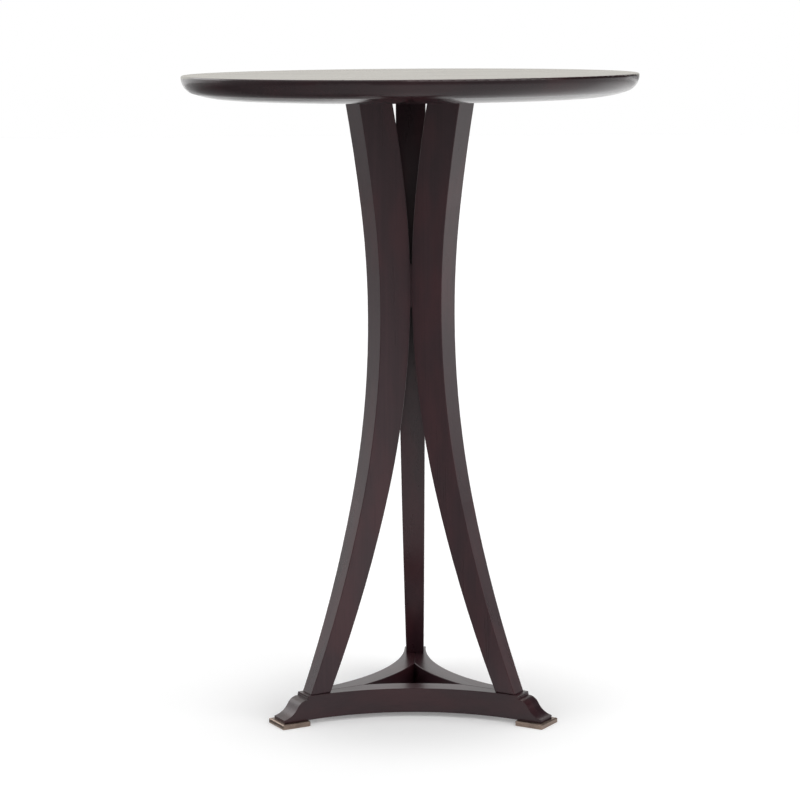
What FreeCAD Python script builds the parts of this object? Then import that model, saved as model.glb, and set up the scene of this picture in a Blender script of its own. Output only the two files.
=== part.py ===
import FreeCAD, Part
import math
import os
import Sketcher
from FreeCAD import Placement, Rotation, Vector

# Driving sizes of the side table, in millimetres
SIZES = (
    # Whole table and its round top
    ("table_height", 650),
    ("top_diameter", 457),
    ("top_thickness", 23.4),
    ("top_arris", 2.0),
    ("under_curve_reach", 46.5),
    ("under_curve_nose", 16.4),
    # Sabre legs: radii and depths run outward from the table's axis, widths run across
    ("leg_head_width", 30.2),
    ("leg_head_radius", 66.3),
    ("leg_head_depth", 37.2),
    ("leg_foot_width", 18.8),
    ("leg_side_swell", 0.8),
    ("leg_foot_radius", 124),
    ("leg_foot_depth", 22.3),
    ("waist_drop", 214.6),
    ("waist_offset", 22),
    ("waist_depth", 34.3),
    ("waist_gap", 1),
    ("waist_curve_outer", 860),
    ("waist_curve_inner", 834),
    ("leg_edge_ease", 0.45),
    ("leg_foot_ease", 0.4),
    ("saw_allowance", 2),
    # Base rails and their ogee toes
    ("rail_height", 24.7),
    ("rail_thickness", 21.2),
    ("rail_ease", 0.4),
    ("corner_margin", 2),
    ("toe_ledge", 4.4),
    ("toe_reach", 26.8),
    ("toe_upper_fillet", 1.85),
    ("toe_fillet_tread", 0.4),
    ("toe_lower_fillet", 3.2),
    ("ogee_crown_radius", 12.8),
    ("ogee_crown_reach", 11.3),
    # Bronze foot plates
    ("foot_plate_thickness", 4.8),
    ("foot_plate_length", 31.3),
    ("foot_plate_width", 33),
    ("foot_plate_margin", 3.8),
    ("foot_plate_round", 2.5),
    ("foot_plate_bevel", 0.8),
    # Steel mounting plate let into the underside of the top
    ("mount_plate_thickness", 4),
    ("mount_plate_margin", 8.7),
    # Block and dowels that hold the legs together at the waist
    ("block_height", 44),
    ("block_lift", 5),
    ("block_recess", 0.9),
    ("dowel_diameter", 6),
    ("dowel_length", 17),
    ("dowel_block_depth", 5),
    ("dowel_spacing", 22),
    # Loose tenons across the mitres of the base
    ("tenon_width", 24),
    ("tenon_thickness", 6),
    ("tenon_length", 18),
    # Countersunk screws
    ("screw_head_ratio", 1.9),
    ("screw_recess", 0.3),
    ("head_screw_diameter", 5),
    ("head_screw_length", 36),
    ("head_screw_spacing", 18),
    ("mount_screw_diameter", 4),
    ("mount_screw_length", 17),
    ("mount_screw_inset", 13),
    ("base_screw_diameter", 4),
    ("base_screw_length", 47),
    ("mitre_wall", 0.7),
    ("foot_screw_diameter", 3.5),
    ("foot_screw_length", 16),
    ("foot_screw_spacing", 12.4),
    ("foot_screw_setback", 9),
    # Room round dowels, tenons and screws, and beyond the ends of blind holes
    ("joint_clearance", 0.1),
    ("hole_overrun", 1),
)

# Sizes that follow from the driving ones
DERIVED = (
    # Heights of the main seats
    ("leg_top", "=dims.table_height - dims.top_thickness"),
    ("base_top", "=dims.foot_plate_thickness + dims.rail_height"),
    ("leg_height", "=leg_top - base_top"),
    # Waist: the legs stand a named gap apart where their inner edges come closest
    ("outer_waist_z", "=leg_top - dims.waist_drop"),
    ("inner_waist_z", "=outer_waist_z + dims.waist_offset"),
    ("waist_share", "=(inner_waist_z - base_top) / leg_height"),
    ("waist_taper", "=dims.leg_foot_width + (dims.leg_head_width - dims.leg_foot_width) * waist_share"),
    ("waist_width", "=waist_taper + 8 * dims.leg_side_swell * waist_share * (1 - waist_share)"),
    ("inner_waist_r", "=(dims.waist_gap / 2 + waist_width / 4) / sin(60 deg)"),
    ("outer_waist_r", "=inner_waist_r + dims.waist_depth"),
    # Ends of the leg's two edges, and the heights half way to them where the waist curve ends
    ("outer_foot_r", "=dims.leg_foot_radius"),
    ("inner_foot_r", "=dims.leg_foot_radius - dims.leg_foot_depth"),
    ("outer_head_r", "=dims.leg_head_radius"),
    ("inner_head_r", "=dims.leg_head_radius - dims.leg_head_depth"),
    ("outer_low_z", "=(outer_waist_z + base_top) / 2"),
    ("inner_low_z", "=(inner_waist_z + base_top) / 2"),
    ("outer_high_z", "=(outer_waist_z + leg_top) / 2"),
    ("inner_high_z", "=(inner_waist_z + leg_top) / 2"),
    # Each side of the leg is a long arc that swells past the straight taper at mid height
    ("side_lean", "=(dims.leg_head_width - dims.leg_foot_width) / 2"),
    ("side_chord", "=sqrt(leg_height ^ 2 + side_lean ^ 2)"),
    ("side_radius", "=(side_chord ^ 2 / 4 + dims.leg_side_swell ^ 2) / (2 * dims.leg_side_swell)"),
    # Base plan: each hollow side runs on to straight toe flanks beside the leg's foot
    ("hollow_centre", "=2 * dims.leg_foot_radius"),
    ("hollow_offset", "=hollow_centre * cos(30 deg)"),
    ("toe_half_width", "=dims.leg_foot_width / 2 + dims.corner_margin"),
    ("hollow_radius", "=hollow_offset - toe_half_width"),
    ("rail_inner_radius", "=hollow_radius + dims.rail_thickness"),
    ("mitre_inner_r", "=hollow_centre / 2 - sqrt(rail_inner_radius ^ 2 - hollow_offset ^ 2)"),
    ("toe_start", "=dims.leg_foot_radius + dims.toe_ledge"),
    ("toe_end", "=toe_start + dims.toe_reach"),
    ("foot_plate_end", "=toe_end + dims.foot_plate_margin"),
    # Waist block and dowels
    ("block_radius", "=inner_waist_r * cos(60 deg) + waist_width / 2 * sin(60 deg) - dims.block_recess"),
    ("block_mid_z", "=inner_waist_z + dims.block_lift"),
    ("dowel_start_r", "=inner_waist_r - dims.dowel_block_depth"),
    # Tenons sit midway along the open stretch of the mitre
    ("tenon_r", "=(mitre_inner_r + inner_foot_r) / 2"),
    ("tenon_z", "=dims.foot_plate_thickness + dims.rail_height / 2"),
    # Plate and screw places
    ("mount_plate_r", "=dims.leg_head_radius + dims.mount_plate_margin"),
    ("mount_plate_top", "=leg_top + dims.mount_plate_thickness"),
    ("mount_screw_r", "=mount_plate_r - dims.mount_screw_inset"),
    ("head_mid_r", "=dims.leg_head_radius - dims.leg_head_depth / 2"),
    ("base_screw_r", "=inner_foot_r + dims.leg_foot_depth / 4"),
    ("base_head_r", "=dims.screw_head_ratio * dims.base_screw_diameter / 2 + dims.screw_recess"),
    ("base_screw_t", "=base_head_r + dims.mitre_wall"),
    ("base_screw_z", "=dims.foot_plate_thickness + dims.screw_recess"),
    ("foot_screw_r", "=toe_start + dims.foot_screw_setback"),
    ("mount_screw_z", "=leg_top + dims.screw_recess"),
    ("head_screw_z", "=mount_plate_top - dims.screw_recess"),
)

# The legs stand evenly round the table's axis, the first at the rear, with angles in degrees
LEG_PLACES = ("rear", "left", "right")
LEG_COUNT = len(LEG_PLACES)
LEG_TURNS = {place: 90 + 360 * i / LEG_COUNT for i, place in enumerate(LEG_PLACES)}
# Each rail is the front one turned about the table's axis, and its two mitres point along the front legs
RAIL_PLACES = ("front", "left", "right")
RAIL_TURNS = {place: -360 * i / LEG_COUNT for i, place in enumerate(RAIL_PLACES)}
MITRE_TURNS = {"left": LEG_TURNS["left"], "right": LEG_TURNS["right"]}
# Two screws per leg hold the mounting plate, the first of them half a step on from the rear leg
MOUNT_SCREW_COUNT = 2 * LEG_COUNT
HALF_STEP = 180 / MOUNT_SCREW_COUNT
MOUNT_TURN = LEG_TURNS["rear"] + HALF_STEP
COUNTERSINK_ANGLE = 90
# Edges this close to a plane count as lying in it
TOUCH = 1e-4

# A sketch numbers the points of a curve in this order, and its own origin as below
START, END, CENTRE = range(1, 4)
ORIGIN = (-1, START)

doc = FreeCAD.newDocument("side_table")


def fill_sheet(name, cells):
    """Adds a sheet with one named cell per row."""
    sheet = doc.addObject("Spreadsheet::Sheet", name)
    for row, (alias, content) in enumerate(cells, 1):
        sheet.set(f"A{row}", alias)
        sheet.set(f"B{row}", str(content))
        sheet.setAlias(f"B{row}", alias)
    doc.recompute()
    return sheet


dims = fill_sheet("dims", SIZES)
derived = fill_sheet("derived", DERIVED)


# Sketch helpers

def origin_item(body, role):
    """One of a body's own origin planes or axes."""
    return next(item for item in body.Origin.OriginFeatures if item.Role == role)


def new_body(label, turn=0):
    """An empty body turned about the table's axis."""
    body = doc.addObject("PartDesign::Body", label)
    body.Placement = Placement(Vector(0, 0, 0), Rotation(Vector(0, 0, 1), turn))
    return body


def new_sketch(body, name, role, lift=None, turn=0):
    """A sketch on an origin plane, moved along the plane's normal and turned about the vertical."""
    sketch = body.newObject("Sketcher::SketchObject", f"{body.Name}_{name}")
    sketch.AttachmentSupport = [(origin_item(body, role), "")]
    sketch.MapMode = "FlatFace"
    upright = Vector(0, 0, 1) if role == "XY_Plane" else Vector(0, 1, 0)
    sketch.AttachmentOffset = Placement(Vector(0, 0, 0), Rotation(upright, turn))
    if lift:
        sketch.setExpression("AttachmentOffset.Base.z", lift)
    return sketch


def add_line(sketch, first, last):
    return sketch.addGeometry(Part.LineSegment(first, last))


def add_arc(sketch, first, last, centre):
    """An arc the short way round; gives the references of its first and last points."""
    circle = Part.Circle(centre, Vector(0, 0, 1), (first - centre).Length)
    from_angle = math.atan2(first.y - centre.y, first.x - centre.x)
    to_angle = math.atan2(last.y - centre.y, last.x - centre.x)
    if (to_angle - from_angle) % (2 * math.pi) < math.pi:
        arc = sketch.addGeometry(Part.ArcOfCircle(circle, from_angle, to_angle))
        return (arc, START), (arc, END)
    arc = sketch.addGeometry(Part.ArcOfCircle(circle, to_angle, from_angle))
    return (arc, END), (arc, START)


def relate(sketch, kind, *references):
    """A constraint without a size, such as Coincident, Tangent or Horizontal."""
    flat = []
    for reference in references:
        flat.extend(reference if isinstance(reference, tuple) else (reference,))
    sketch.addConstraint(Sketcher.Constraint(kind, *flat))


def bind(sketch, name, constraint, formula):
    """A constraint whose size comes from the sheets."""
    index = sketch.addConstraint(constraint)
    sketch.renameConstraint(index, name)
    sketch.setExpression(f"Constraints.{name}", formula)


def bind_x(sketch, name, point, formula):
    value = sketch.getPoint(*point).x
    bind(sketch, name, Sketcher.Constraint("DistanceX", *ORIGIN, *point, value), formula)


def bind_y(sketch, name, point, formula):
    value = sketch.getPoint(*point).y
    bind(sketch, name, Sketcher.Constraint("DistanceY", *ORIGIN, *point, value), formula)


def bind_radius(sketch, name, curve, formula):
    bind(sketch, name, Sketcher.Constraint("Radius", curve, sketch.Geometry[curve].Radius), formula)


def add_polygon(sketch, points):
    """A closed outline of straight lines; gives the index of each line."""
    lines = [add_line(sketch, a, b) for a, b in zip(points, points[1:] + points[:1])]
    for line, following in zip(lines, lines[1:] + lines[:1]):
        relate(sketch, "Coincident", (line, END), (following, START))
    return lines


def add_circle(sketch, name, place, x_formula, y_formula, radius_formula):
    """A circle with its centre and radius tied to the sheets."""
    circle = sketch.addGeometry(Part.Circle(place, Vector(0, 0, 1), 1))
    bind_radius(sketch, f"{name}_radius", circle, radius_formula)
    bind_x(sketch, f"{name}_x", (circle, CENTRE), x_formula)
    bind_y(sketch, f"{name}_y", (circle, CENTRE), y_formula)


def tangent_centre(joint, centre, end):
    """Centre of the arc that leaves joint tangent to a curve about centre and passes through end."""
    normal = (centre - joint).normalize()
    span = end - joint
    return joint + normal * (span.dot(span) / (2 * normal.dot(span)))


def arc_height(radius, run):
    """How far an arc of this radius has risen at a distance from its lowest point."""
    return radius - math.sqrt(radius ** 2 - run ** 2)


# Feature helpers

def add_pad(body, sketch, length, symmetric=False):
    pad = body.newObject("PartDesign::Pad", f"{sketch.Name}_pad")
    pad.Profile = sketch
    pad.SideType = "Symmetric" if symmetric else "One side"
    pad.setExpression("Length", length)
    doc.recompute()
    return pad


def add_pocket(body, sketch, length=None, symmetric=False, reverse=False):
    """A cut from the sketch: through everything, or to a length."""
    pocket = body.newObject("PartDesign::Pocket", f"{sketch.Name}_pocket")
    pocket.Profile = sketch
    pocket.SideType = "Symmetric" if symmetric else "One side"
    pocket.Reversed = reverse
    if length:
        pocket.setExpression("Length", length)
    else:
        pocket.Type = "ThroughAll"
    doc.recompute()
    return pocket


def add_countersunk_hole(body, sketch, screw, reverse=False):
    """Through holes for a countersunk screw, with room round the shank and the head."""
    doc.recompute()
    hole = body.newObject("PartDesign::Hole", f"{sketch.Name}_hole")
    hole.Profile = sketch
    hole.DepthType = "ThroughAll"
    hole.Reversed = reverse
    hole.HoleCutType = "Countersink"
    hole.HoleCutCustomValues = True
    hole.HoleCutCountersinkAngle = COUNTERSINK_ANGLE
    hole.setExpression("Diameter", f"dims.{screw}_diameter + 2 * dims.joint_clearance")
    room = "2 * (dims.screw_recess + dims.joint_clearance)"
    hole.setExpression("HoleCutDiameter", f"dims.{screw}_diameter * dims.screw_head_ratio + {room}")
    doc.recompute()
    return hole


def add_polar(body, name, originals, count):
    """Repeats features round the table's axis."""
    pattern = body.newObject("PartDesign::PolarPattern", f"{body.Name}_{name}")
    pattern.Originals = originals
    pattern.Axis = (origin_item(body, "Z_Axis"), [""])
    pattern.Angle = 360
    pattern.Occurrences = count
    body.Tip = pattern
    doc.recompute()
    return pattern


def pick_edges(body, wanted):
    """The body's last feature and the names of its edges that a test picks out."""
    base = body.Tip
    names = [f"Edge{i}" for i, edge in enumerate(base.Shape.Edges, 1) if wanted(edge)]
    return base, names


def add_chamfer(body, name, size, wanted):
    """A flat ease on the edges that a test picks out."""
    edges = pick_edges(body, wanted)
    chamfer = body.newObject("PartDesign::Chamfer", f"{body.Name}_{name}")
    chamfer.Base = edges
    chamfer.setExpression("Size", size)
    doc.recompute()
    return chamfer


def add_fillet(body, name, radius, wanted):
    """A round on the edges that a test picks out."""
    edges = pick_edges(body, wanted)
    fillet = body.newObject("PartDesign::Fillet", f"{body.Name}_{name}")
    fillet.Base = edges
    fillet.setExpression("Radius", radius)
    doc.recompute()
    return fillet


# Round top

def make_table_top():
    """The top: a turned disc with an eased arris and a long curve under its rim."""
    body = new_body("table_top")
    profile = new_sketch(body, "profile", "XZ_Plane")
    rim = dims.top_diameter / 2
    high = dims.table_height
    low = derived.leg_top
    shoulder = high - dims.top_arris
    flat_edge = Vector(rim - dims.under_curve_reach, low)
    nose_centre = Vector(rim - dims.under_curve_nose, shoulder)
    run = nose_centre.x - flat_edge.x
    rise = nose_centre.y - low
    nose = dims.under_curve_nose
    sweep = (run ** 2 + rise ** 2 - nose ** 2) / (2 * (rise - nose))
    sweep_centre = flat_edge + Vector(0, sweep)
    outward = (nose_centre - sweep_centre).normalize()
    blend = sweep_centre + outward * sweep
    widest = Vector(rim, shoulder)
    arris_centre = Vector(rim - dims.top_arris, shoulder)
    surface_edge = Vector(arris_centre.x, high)
    under = add_line(profile, Vector(0, low), flat_edge)
    first, join = add_arc(profile, flat_edge, blend, sweep_centre)
    nose_start, nose_end = add_arc(profile, blend, widest, nose_centre)
    rim_start, rim_end = add_arc(profile, widest, surface_edge, arris_centre)
    upper = add_line(profile, surface_edge, Vector(0, high))
    axis = add_line(profile, Vector(0, high), Vector(0, low))
    relate(profile, "Tangent", (under, END), first)
    relate(profile, "Tangent", join, nose_start)
    relate(profile, "Tangent", nose_end, rim_start)
    relate(profile, "Tangent", rim_end, (upper, START))
    relate(profile, "Coincident", (upper, END), (axis, START))
    relate(profile, "Coincident", (axis, END), (under, START))
    relate(profile, "Horizontal", under)
    relate(profile, "Horizontal", upper)
    relate(profile, "Vertical", axis)
    relate(profile, "Horizontal", (rim_start[0], CENTRE), rim_start)
    bind_x(profile, "axis_x", (axis, END), "0")
    bind_y(profile, "underside", (axis, END), "derived.leg_top")
    bind_y(profile, "surface", (axis, START), "dims.table_height")
    bind_x(profile, "rim", rim_start, "dims.top_diameter / 2")
    bind_x(profile, "flat_edge", (under, END), "dims.top_diameter / 2 - dims.under_curve_reach")
    bind_radius(profile, "nose", nose_start[0], "dims.under_curve_nose")
    bind_radius(profile, "arris", rim_start[0], "dims.top_arris")
    disc = body.newObject("PartDesign::Revolution", "table_top_disc")
    disc.Profile = profile
    disc.ReferenceAxis = (profile, ["V_Axis"])
    disc.Angle = 360
    doc.recompute()
    recess = new_sketch(body, "recess", "XY_Plane", "derived.leg_top")
    add_circle(recess, "plate", Vector(0, 0), "0", "0", "derived.mount_plate_r + dims.joint_clearance")
    add_pocket(body, recess, "dims.mount_plate_thickness", reverse=True)
    pilot = new_sketch(body, "pilot", "XY_Plane", "derived.mount_plate_top", MOUNT_TURN)
    bore = "dims.mount_screw_diameter / 2 + dims.joint_clearance"
    add_circle(pilot, "screw", Vector(derived.mount_screw_r, 0), "derived.mount_screw_r", "0", bore)
    tip = "derived.mount_screw_z + dims.mount_screw_length - derived.mount_plate_top"
    hole = add_pocket(body, pilot, f"{tip} + dims.hole_overrun", reverse=True)
    add_polar(body, "pilots", [hole], MOUNT_SCREW_COUNT)
    return body


# Steel plate that joins the legs to the top

def make_mounting_plate():
    """A round plate flush with the underside of the top, drilled for both sets of screws."""
    body = new_body("mounting_plate", LEG_TURNS["rear"])
    disc = new_sketch(body, "disc", "XY_Plane", "derived.leg_top")
    add_circle(disc, "rim", Vector(0, 0), "0", "0", "derived.mount_plate_r")
    add_pad(body, disc, "dims.mount_plate_thickness")
    heads = new_sketch(body, "heads", "XY_Plane", "derived.mount_plate_top")
    shank = "dims.head_screw_diameter / 2"
    for name, side in (("inner", "-"), ("outer", "+")):
        place = f"derived.head_mid_r {side} dims.head_screw_spacing / 2"
        add_circle(heads, name, Vector(derived.head_mid_r, 0), place, "0", shank)
    head_holes = add_countersunk_hole(body, heads, "head_screw")
    add_polar(body, "head_holes", [head_holes], LEG_COUNT)
    mounts = new_sketch(body, "mounts", "XY_Plane", "derived.leg_top", HALF_STEP)
    shank = "dims.mount_screw_diameter / 2"
    add_circle(mounts, "screw", Vector(derived.mount_screw_r, 0), "derived.mount_screw_r", "0", shank)
    mount_hole = add_countersunk_hole(body, mounts, "mount_screw", reverse=True)
    add_polar(body, "mount_holes", [mount_hole], MOUNT_SCREW_COUNT)
    return body


# Legs

def add_leg_edge(sketch, side):
    """One long edge of the leg: a waist arc with a tangent arc on to each end."""
    waist_r = getattr(derived, f"{side}_waist_r")
    waist_z = getattr(derived, f"{side}_waist_z")
    low_z = getattr(derived, f"{side}_low_z")
    high_z = getattr(derived, f"{side}_high_z")
    curve = getattr(dims, f"waist_curve_{side}")
    centre = Vector(waist_r + curve, waist_z)
    low = Vector(waist_r + arc_height(curve, waist_z - low_z), low_z)
    high = Vector(waist_r + arc_height(curve, high_z - waist_z), high_z)
    foot = Vector(getattr(derived, f"{side}_foot_r"), derived.base_top)
    head = Vector(getattr(derived, f"{side}_head_r"), derived.leg_top)
    head_end, upper_end = add_arc(sketch, head, high, tangent_centre(high, centre, head))
    waist_start, waist_end = add_arc(sketch, high, low, centre)
    lower_start, foot_end = add_arc(sketch, low, foot, tangent_centre(low, centre, foot))
    relate(sketch, "Tangent", upper_end, waist_start)
    relate(sketch, "Tangent", waist_end, lower_start)
    waist = waist_start[0]
    bind_radius(sketch, f"{side}_curve", waist, f"dims.waist_curve_{side}")
    bind_x(sketch, f"{side}_waist_x", (waist, CENTRE), f"derived.{side}_waist_r + dims.waist_curve_{side}")
    bind_y(sketch, f"{side}_waist_y", (waist, CENTRE), f"derived.{side}_waist_z")
    bind_y(sketch, f"{side}_low", waist_end, f"derived.{side}_low_z")
    bind_y(sketch, f"{side}_high", waist_start, f"derived.{side}_high_z")
    bind_x(sketch, f"{side}_foot_x", foot_end, f"derived.{side}_foot_r")
    bind_y(sketch, f"{side}_foot_y", foot_end, "derived.base_top")
    bind_x(sketch, f"{side}_head_x", head_end, f"derived.{side}_head_r")
    bind_y(sketch, f"{side}_head_y", head_end, "derived.leg_top")
    return head_end, foot_end


def add_taper_waste(sketch, name, side):
    """What is planed off one face of the leg, so that it narrows in a long curve towards the foot."""
    foot = Vector(side * dims.leg_foot_width / 2, derived.base_top)
    head = Vector(side * dims.leg_head_width / 2, derived.leg_top)
    low_clear = Vector(head.x + side * dims.saw_allowance, foot.y)
    high_clear = Vector(low_clear.x, head.y)
    inward = Vector(-side * derived.leg_height, side * (head.x - foot.x)).normalize()
    centre = (foot + head) / 2 + inward * (derived.side_radius - dims.leg_side_swell)
    bottom = add_line(sketch, foot, low_clear)
    outside = add_line(sketch, low_clear, high_clear)
    top = add_line(sketch, high_clear, head)
    head_end, foot_end = add_arc(sketch, head, foot, centre)
    relate(sketch, "Coincident", (bottom, END), (outside, START))
    relate(sketch, "Coincident", (outside, END), (top, START))
    relate(sketch, "Coincident", (top, END), head_end)
    relate(sketch, "Coincident", foot_end, (bottom, START))
    relate(sketch, "Horizontal", bottom)
    relate(sketch, "Vertical", outside)
    relate(sketch, "Horizontal", top)
    bind_x(sketch, f"{name}_foot_x", (bottom, START), f"{side} * dims.leg_foot_width / 2")
    bind_y(sketch, f"{name}_foot_y", (bottom, START), "derived.base_top")
    bind_x(sketch, f"{name}_head_x", (top, END), f"{side} * dims.leg_head_width / 2")
    bind_y(sketch, f"{name}_head_y", (top, END), "derived.leg_top")
    bind_radius(sketch, f"{name}_curve", head_end[0], "derived.side_radius")
    outside_x = f"{side} * (dims.leg_head_width / 2 + dims.saw_allowance)"
    bind_x(sketch, f"{name}_clear", (outside, START), outside_x)


def make_leg(place, turn):
    """A sabre leg: sawn to its curve, tapered in width, with eased edges and drilled ends."""
    body = new_body(f"leg_{place}", turn)
    profile = new_sketch(body, "profile", "XZ_Plane")
    outer_head, outer_foot = add_leg_edge(profile, "outer")
    inner_head, inner_foot = add_leg_edge(profile, "inner")
    top = add_line(profile, profile.getPoint(*outer_head), profile.getPoint(*inner_head))
    bottom = add_line(profile, profile.getPoint(*inner_foot), profile.getPoint(*outer_foot))
    relate(profile, "Coincident", outer_head, (top, START))
    relate(profile, "Coincident", inner_head, (top, END))
    relate(profile, "Coincident", inner_foot, (bottom, START))
    relate(profile, "Coincident", outer_foot, (bottom, END))
    add_pad(body, profile, "dims.leg_head_width + dims.saw_allowance", symmetric=True)
    taper = new_sketch(body, "taper", "YZ_Plane")
    add_taper_waste(taper, "near", -1)
    add_taper_waste(taper, "far", 1)
    add_pocket(body, taper, symmetric=True)
    long_edge = derived.leg_height / 10
    add_chamfer(body, "long_ease", "dims.leg_edge_ease", lambda e: e.BoundBox.ZLength > long_edge)
    seat = derived.base_top + TOUCH
    add_chamfer(body, "foot_ease", "dims.leg_foot_ease", lambda e: e.BoundBox.ZMax < seat)
    drill_leg(body)
    return body


def drill_leg(body):
    """Blind holes for the screws in both ends and for the dowels at the waist."""
    heads = new_sketch(body, "head_holes", "XY_Plane", "derived.leg_top")
    bore = "dims.head_screw_diameter / 2 + dims.joint_clearance"
    for name, side in (("inner", "-"), ("outer", "+")):
        place = f"derived.head_mid_r {side} dims.head_screw_spacing / 2"
        add_circle(heads, name, Vector(derived.head_mid_r, 0), place, "0", bore)
    depth = "derived.leg_top - derived.head_screw_z + dims.head_screw_length + dims.hole_overrun"
    add_pocket(body, heads, depth)
    feet = new_sketch(body, "foot_holes", "XY_Plane", "derived.base_top")
    bore = "dims.base_screw_diameter / 2 + dims.joint_clearance"
    for name, side in (("near", "-"), ("far", "")):
        sideways = f"{side}derived.base_screw_t"
        add_circle(feet, name, Vector(derived.base_screw_r, 0), "derived.base_screw_r", sideways, bore)
    depth = "derived.base_screw_z + dims.base_screw_length - derived.base_top + dims.hole_overrun"
    add_pocket(body, feet, depth, reverse=True)
    dowels = new_sketch(body, "dowel_holes", "YZ_Plane")
    add_dowel_circles(dowels, "dims.dowel_diameter / 2 + dims.joint_clearance")
    add_pocket(body, dowels, "derived.dowel_start_r + dims.dowel_length + dims.hole_overrun", reverse=True)


# Waist block and its dowels

def add_dowel_circles(sketch, radius):
    """The two dowels that each leg has, one above the other at the waist."""
    for name, side in (("lower", "-"), ("upper", "+")):
        height = f"derived.block_mid_z {side} dims.dowel_spacing / 2"
        add_circle(sketch, name, Vector(0, derived.block_mid_z), "0", height, radius)


def make_waist_block():
    """A round plug with three faces hollowed to the curve of the legs' inner edges."""
    body = new_body("waist_block", LEG_TURNS["rear"])
    plug = new_sketch(body, "plug", "XY_Plane", "derived.block_mid_z - dims.block_height / 2")
    add_circle(plug, "plug", Vector(0, 0), "0", "0", "derived.block_radius")
    add_pad(body, plug, "dims.block_height")
    face = new_sketch(body, "face", "XZ_Plane")
    curve = dims.waist_curve_inner
    low = derived.block_mid_z - dims.block_height / 2
    high = derived.block_mid_z + dims.block_height / 2
    low_r = derived.inner_waist_r + arc_height(curve, low - derived.inner_waist_z)
    high_r = derived.inner_waist_r + arc_height(curve, high - derived.inner_waist_z)
    clear = derived.block_radius + dims.saw_allowance
    centre = Vector(derived.inner_waist_r + curve, derived.inner_waist_z)
    upper, lower = add_arc(face, Vector(high_r, high), Vector(low_r, low), centre)
    bottom = add_line(face, Vector(low_r, low), Vector(clear, low))
    outside = add_line(face, Vector(clear, low), Vector(clear, high))
    top = add_line(face, Vector(clear, high), Vector(high_r, high))
    relate(face, "Coincident", lower, (bottom, START))
    relate(face, "Coincident", (bottom, END), (outside, START))
    relate(face, "Coincident", (outside, END), (top, START))
    relate(face, "Coincident", (top, END), upper)
    relate(face, "Horizontal", bottom)
    relate(face, "Vertical", outside)
    relate(face, "Horizontal", top)
    bind_radius(face, "curve", upper[0], "dims.waist_curve_inner")
    bind_x(face, "centre_x", (upper[0], CENTRE), "derived.inner_waist_r + dims.waist_curve_inner")
    bind_y(face, "centre_y", (upper[0], CENTRE), "derived.inner_waist_z")
    bind_y(face, "low", lower, "derived.block_mid_z - dims.block_height / 2")
    bind_y(face, "high", upper, "derived.block_mid_z + dims.block_height / 2")
    bind_x(face, "clear", (outside, START), "derived.block_radius + dims.saw_allowance")
    hollow = add_pocket(body, face, symmetric=True)
    holes = new_sketch(body, "holes", "YZ_Plane", "derived.dowel_start_r - dims.joint_clearance")
    add_dowel_circles(holes, "dims.dowel_diameter / 2 + dims.joint_clearance")
    drilled = add_pocket(body, holes, "derived.block_radius", reverse=True)
    add_polar(body, "faces", [hollow, drilled], LEG_COUNT)
    return body


def make_waist_dowels():
    """Two dowels from the waist block into each leg."""
    body = new_body("waist_dowels", LEG_TURNS["rear"])
    body.AllowCompound = True
    rods = new_sketch(body, "rods", "YZ_Plane", "derived.dowel_start_r")
    add_dowel_circles(rods, "dims.dowel_diameter / 2")
    pad = add_pad(body, rods, "dims.dowel_length")
    add_polar(body, "set", [pad], LEG_COUNT)
    return body


# Base rails

def add_rail_outline(sketch):
    """Plan of the front rail: two arcs about one centre, mitred ends and straight-sided toes."""
    centre = Vector(0, -derived.hollow_centre)
    ends = {}
    for side, turn in MITRE_TURNS.items():
        along = Rotation(Vector(0, 0, 1), turn).multVec(Vector(1, 0))
        across = Vector(-math.copysign(along.y, along.x), -abs(along.x))
        inner = along * derived.mitre_inner_r
        tip = along * derived.toe_end
        corner = tip + across * derived.toe_half_width
        shoulder = along * dims.leg_foot_radius + across * derived.toe_half_width
        mitre = add_line(sketch, inner, tip)
        toe = add_line(sketch, tip, corner)
        flank = add_line(sketch, corner, shoulder)
        relate(sketch, "Coincident", (mitre, END), (toe, START))
        relate(sketch, "Coincident", (toe, END), (flank, START))
        relate(sketch, "PointOnObject", ORIGIN, mitre)
        relate(sketch, "Perpendicular", mitre, toe)
        relate(sketch, "Perpendicular", toe, flank)
        angle = math.atan2(along.y, along.x)
        sketch.addConstraint(Sketcher.Constraint("Angle", mitre, angle))
        reach = Sketcher.Constraint("Distance", *ORIGIN, mitre, END, derived.toe_end)
        bind(sketch, f"{side}_toe", reach, "derived.toe_end")
        ends[side] = (mitre, flank, inner, shoulder)
    left_mitre, left_flank, left_inner, left_shoulder = ends["left"]
    right_mitre, right_flank, right_inner, right_shoulder = ends["right"]
    outer_left, outer_right = add_arc(sketch, left_shoulder, right_shoulder, centre)
    inner_left, inner_right = add_arc(sketch, left_inner, right_inner, centre)
    relate(sketch, "Tangent", (left_flank, END), outer_left)
    relate(sketch, "Tangent", (right_flank, END), outer_right)
    relate(sketch, "Coincident", (left_mitre, START), inner_left)
    relate(sketch, "Coincident", (right_mitre, START), inner_right)
    outer, inner = outer_left[0], inner_left[0]
    relate(sketch, "Coincident", (outer, CENTRE), (inner, CENTRE))
    bind_x(sketch, "centre_x", (outer, CENTRE), "0")
    bind_y(sketch, "centre_y", (outer, CENTRE), "-derived.hollow_centre")
    bind_radius(sketch, "outer", outer, "derived.hollow_radius")
    bind_radius(sketch, "inner", inner, "derived.rail_inner_radius")


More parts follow.
